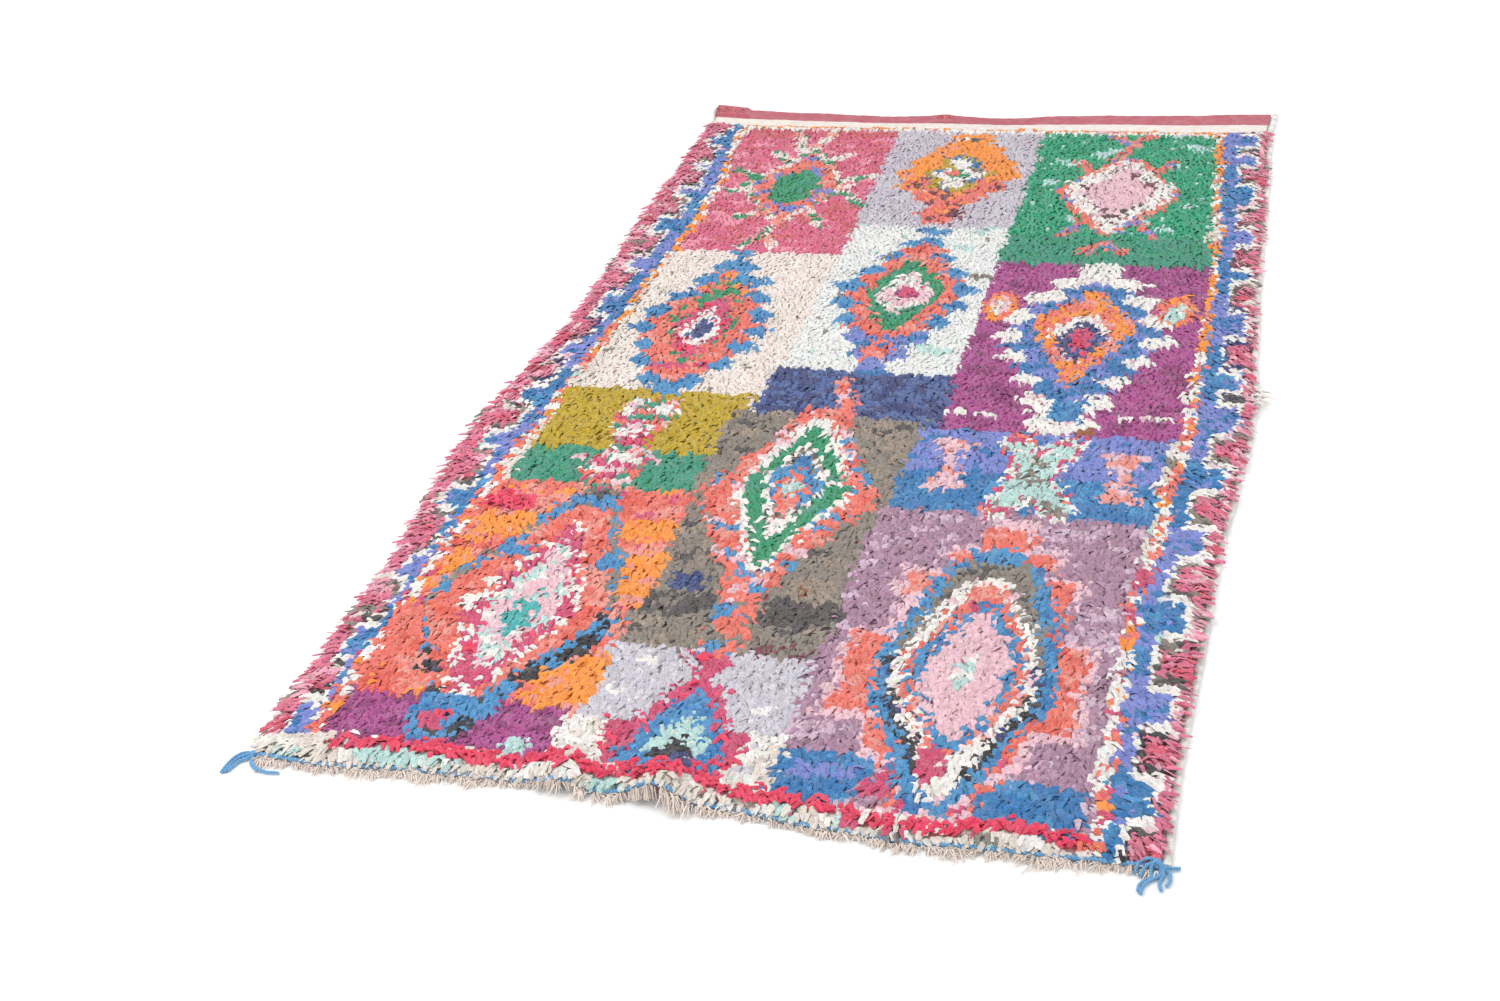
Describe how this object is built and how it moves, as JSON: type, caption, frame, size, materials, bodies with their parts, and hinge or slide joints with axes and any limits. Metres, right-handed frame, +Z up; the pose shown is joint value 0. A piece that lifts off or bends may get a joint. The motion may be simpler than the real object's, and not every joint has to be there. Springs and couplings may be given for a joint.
{
  "type": "boucherouite rug",
  "caption": "Hand-knotted rag rug with shaggy lozenges in rose, green, purple, coral and blue, white and cream grounds, comb borders and a short warp fringe.",
  "frame": {"origin": "on the floor, under the middle of the rug with its fringe and corner tassels", "axes": "+X across the rug to the right, +Y along the rug from its fringed near end to its flat-woven far end, +Z up out of the pile"},
  "size_m": [1.5711, 2.7632, 0.0536],
  "materials": {
    "rag_pile": "matte rags of jersey, wool and knit",
    "flat_weave": "ribbed flat weave",
    "selvedge_wool": "overcast wool",
    "twining_yarn": "twisted wool yarn",
    "fringe_warp": "matte cotton warp",
    "tassel_yarn": "twisted wool yarn"
  },
  "bodies": {
    "root": {"rug": "rag_pile", "selvedge_left": "selvedge_wool", "selvedge_right": "selvedge_wool", "end_twining": "twining_yarn", "end_fringe": "fringe_warp", "tassel_left": "tassel_yarn", "tassel_right": "tassel_yarn"}
  },
  "joints": []
}
